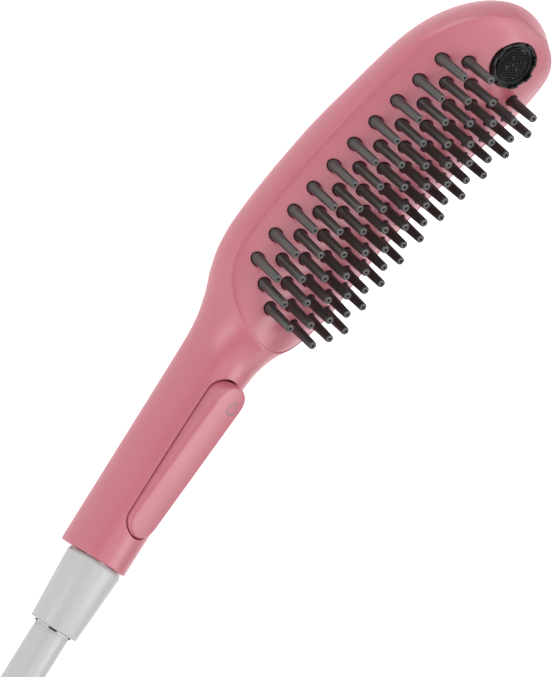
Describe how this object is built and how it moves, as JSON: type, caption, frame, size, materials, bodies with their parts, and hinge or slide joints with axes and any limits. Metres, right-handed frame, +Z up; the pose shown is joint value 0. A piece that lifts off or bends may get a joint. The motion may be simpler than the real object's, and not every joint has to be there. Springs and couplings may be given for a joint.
{
  "type": "pet hand shower",
  "caption": "Brush-shaped hand shower for washing pets, with soft massage nozzles, an aerator, a pause lever in the grip and a smooth hose on a conical nut.",
  "frame": {"origin": "on the table, under the middle of the shower's own length from the small end of the cone nut to the head's tip; the hose and its hank are left out", "axes": "+X from the grip towards the head's tip, +Z up from the back of the shower, the side that lies on the table, to the spray face, +Y across the head"},
  "size_m": [0.5867, 0.1432, 0.0853],
  "materials": {
    "pink_plastic": "satin pink injection-moulded plastic",
    "grey_silicone": "soft matt dark grey silicone",
    "black_plastic": "dark satin plastic",
    "white_plastic": "plain white plastic, inside the shell",
    "black_rubber": "matt rubber seals",
    "bright_steel": "stainless steel",
    "plated_brass": "bright plated brass thread",
    "silver_plastic": "fine light grey silver-look plastic",
    "silver_hose": "smooth light grey flexible hose"
  },
  "bodies": {
    "grip": {"body_shell": "pink_plastic", "face_plate": "pink_plastic", "nozzle_mat": "grey_silicone", "spray_chamber": "white_plastic", "aerator_ring": "black_plastic", "aerator_mesh": "black_plastic", "lever_pin": "bright_steel", "valve_body": "white_plastic", "valve_plug": "white_plastic", "gland_nut": "white_plastic", "stem_oring": "black_rubber", "valve_spring": "bright_steel", "water_tube": "white_plastic", "inlet_connector": "plated_brass", "inlet_oring": "black_rubber", "filter_washer": "black_rubber", "inlet_filter": "bright_steel", "hose_ferrule": "silver_plastic", "hose_lead": "silver_hose", "hose_coil": "silver_hose", "coil_tie": "black_plastic", "tap_ferrule": "silver_plastic", "tap_washer": "black_rubber"},
    "lever": {"pause_lever": "pink_plastic"},
    "stem": {"valve_stem": "white_plastic", "poppet_seal": "black_rubber"},
    "hose_nut": {"cone_nut": "silver_plastic"},
    "far_nut": {"tap_nut": "silver_plastic"}
  },
  "joints": [
    {"name": "lever_press", "type": "hinge", "parent": "grip", "child": "lever", "pos_m": [-0.09942, 0, 0.02602], "axis": [0, 1, 0], "range_deg": [0, 5], "stiffness_Nm_per_rad": 0.6, "springref_deg": -5.73},
    {"name": "stem_push", "type": "slide", "parent": "grip", "child": "stem", "axis": [0, 0, -1], "range_m": [0, 0.00305], "deforming": ["valve_spring"]},
    {"name": "hose_nut_turn", "type": "hinge", "parent": "grip", "child": "hose_nut", "pos_m": [-0.1377, 0, 0.01872], "axis": [1, 0, 0], "continuous": true},
    {"name": "tap_nut_turn", "type": "hinge", "parent": "grip", "child": "far_nut", "pos_m": [-0.3204, -0.098, 0.04566], "axis": [1, 0, 0], "continuous": true}
  ],
  "couplings": [
    {"joint": "stem_push", "follows": "lever_press", "m_per_rad": 0.0344}
  ]
}
